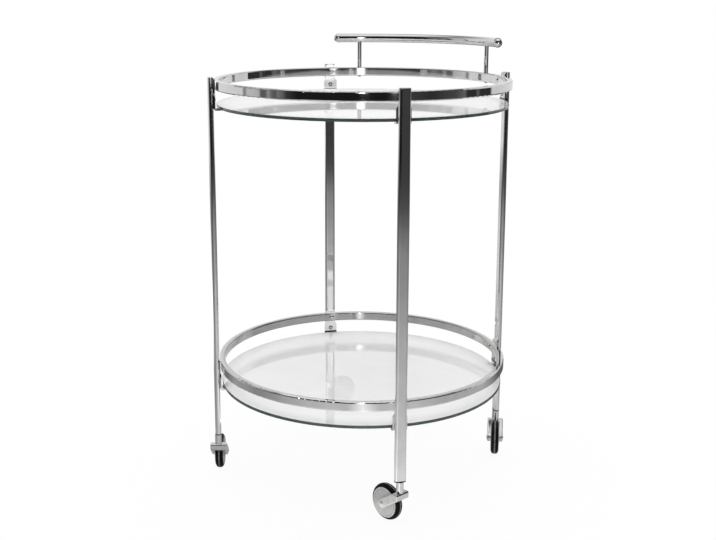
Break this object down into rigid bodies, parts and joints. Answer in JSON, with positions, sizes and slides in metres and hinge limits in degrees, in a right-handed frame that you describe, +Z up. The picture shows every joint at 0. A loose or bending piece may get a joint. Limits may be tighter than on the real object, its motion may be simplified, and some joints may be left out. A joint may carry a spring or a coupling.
{
  "type": "serving cart",
  "caption": "Round two-tier serving cart: chrome tube legs and ring rails, clear glass shelves hung on brackets, arc push handle, swivel casters with thin rubber tyres.",
  "frame": {"origin": "on the floor, at the centre of the round cart", "axes": "+Z up, the handle over +Y, legs on the diagonals between X and Y"},
  "size_m": [0.5, 0.503, 0.7503],
  "materials": {
    "chrome_rail": "bright chrome plate on steel tube",
    "chrome_leg": "bright chrome plate on flat-oval steel tube",
    "chrome_cap": "chromed end cap",
    "chrome_bracket": "chromed bent strip",
    "chrome_handle": "bright chrome plate on round tube",
    "fastener": "chromed button-head bolts",
    "zinc_nut": "zinc-plated blind nuts",
    "shelf_glass": "clear float glass with a green edge",
    "clear_pad": "clear soft pads",
    "black_nylon": "black nylon sockets",
    "cast_fork": "plated, softly polished castings",
    "zinc_stem": "plated steel pins",
    "wheel_nylon": "moulded wheel bodies",
    "wheel_cover": "satin turned discs",
    "tyre_rubber": "black rubber band tyres"
  },
  "bodies": {
    "frame": {"upper_rail": "chrome_rail", "lower_rail": "chrome_rail", "handle_bar": "chrome_handle", "handle_cap_right": "chrome_handle", "handle_cap_left": "chrome_handle", "handle_post_right": "chrome_handle", "handle_post_left": "chrome_handle", "rail_bolts": "fastener", "bracket_screws": "fastener", "handle_screws": "fastener", "blind_nuts": "zinc_nut", "upper_glass_shelf": "shelf_glass", "lower_glass_shelf": "shelf_glass", "upper_shelf_pads": "clear_pad", "lower_shelf_pads": "clear_pad", "leg_front_right": "chrome_leg", "leg_cap_front_right": "chrome_cap", "upper_bracket_front_right": "chrome_bracket", "lower_bracket_front_right": "chrome_bracket", "caster_socket_front_right": "black_nylon", "leg_back_right": "chrome_leg", "leg_cap_back_right": "chrome_cap", "upper_bracket_back_right": "chrome_bracket", "lower_bracket_back_right": "chrome_bracket", "caster_socket_back_right": "black_nylon", "leg_back_left": "chrome_leg", "leg_cap_back_left": "chrome_cap", "upper_bracket_back_left": "chrome_bracket", "lower_bracket_back_left": "chrome_bracket", "caster_socket_back_left": "black_nylon", "leg_front_left": "chrome_leg", "leg_cap_front_left": "chrome_cap", "upper_bracket_front_left": "chrome_bracket", "lower_bracket_front_left": "chrome_bracket", "caster_socket_front_left": "black_nylon"},
    "caster_front_right": {"caster_fork_front_right": "cast_fork", "caster_stem_front_right": "zinc_stem", "axle_front_right": "zinc_stem"},
    "wheel_front_right": {"wheel_core_front_right": "wheel_nylon", "wheel_covers_front_right": "wheel_cover", "tyre_front_right": "tyre_rubber"},
    "caster_back_right": {"caster_fork_back_right": "cast_fork", "caster_stem_back_right": "zinc_stem", "axle_back_right": "zinc_stem"},
    "wheel_back_right": {"wheel_core_back_right": "wheel_nylon", "wheel_covers_back_right": "wheel_cover", "tyre_back_right": "tyre_rubber"},
    "caster_back_left": {"caster_fork_back_left": "cast_fork", "caster_stem_back_left": "zinc_stem", "axle_back_left": "zinc_stem"},
    "wheel_back_left": {"wheel_core_back_left": "wheel_nylon", "wheel_covers_back_left": "wheel_cover", "tyre_back_left": "tyre_rubber"},
    "caster_front_left": {"caster_fork_front_left": "cast_fork", "caster_stem_front_left": "zinc_stem", "axle_front_left": "zinc_stem"},
    "wheel_front_left": {"wheel_core_front_left": "wheel_nylon", "wheel_covers_front_left": "wheel_cover", "tyre_front_left": "tyre_rubber"}
  },
  "joints": [
    {"name": "swivel_front_right", "type": "hinge", "parent": "frame", "child": "caster_front_right", "pos_m": [0.18141, -0.18141, 0.07272], "axis": [0, 0, 1], "continuous": true},
    {"name": "roll_front_right", "type": "hinge", "parent": "caster_front_right", "child": "wheel_front_right", "pos_m": [0.15485, -0.17429, 0.03], "axis": [-0.2588, -0.9659, 0], "continuous": true},
    {"name": "swivel_back_right", "type": "hinge", "parent": "frame", "child": "caster_back_right", "pos_m": [0.18141, 0.18141, 0.07272], "axis": [0, 0, 1], "continuous": true},
    {"name": "roll_back_right", "type": "hinge", "parent": "caster_back_right", "child": "wheel_back_right", "pos_m": [0.19259, 0.15629, 0.03], "axis": [0.9135, 0.4067, 0], "continuous": true},
    {"name": "swivel_back_left", "type": "hinge", "parent": "frame", "child": "caster_back_left", "pos_m": [-0.18141, 0.18141, 0.07272], "axis": [0, 0, 1], "continuous": true},
    {"name": "roll_back_left", "type": "hinge", "parent": "caster_back_left", "child": "wheel_back_left", "pos_m": [-0.16979, 0.20633, 0.03], "axis": [-0.9063, 0.4226, 0], "continuous": true},
    {"name": "swivel_front_left", "type": "hinge", "parent": "frame", "child": "caster_front_left", "pos_m": [-0.18141, -0.18141, 0.07272], "axis": [0, 0, 1], "continuous": true},
    {"name": "roll_front_left", "type": "hinge", "parent": "caster_front_left", "child": "wheel_front_left", "pos_m": [-0.19618, -0.15821, 0.03], "axis": [-0.8434, -0.5373, 0], "continuous": true}
  ]
}
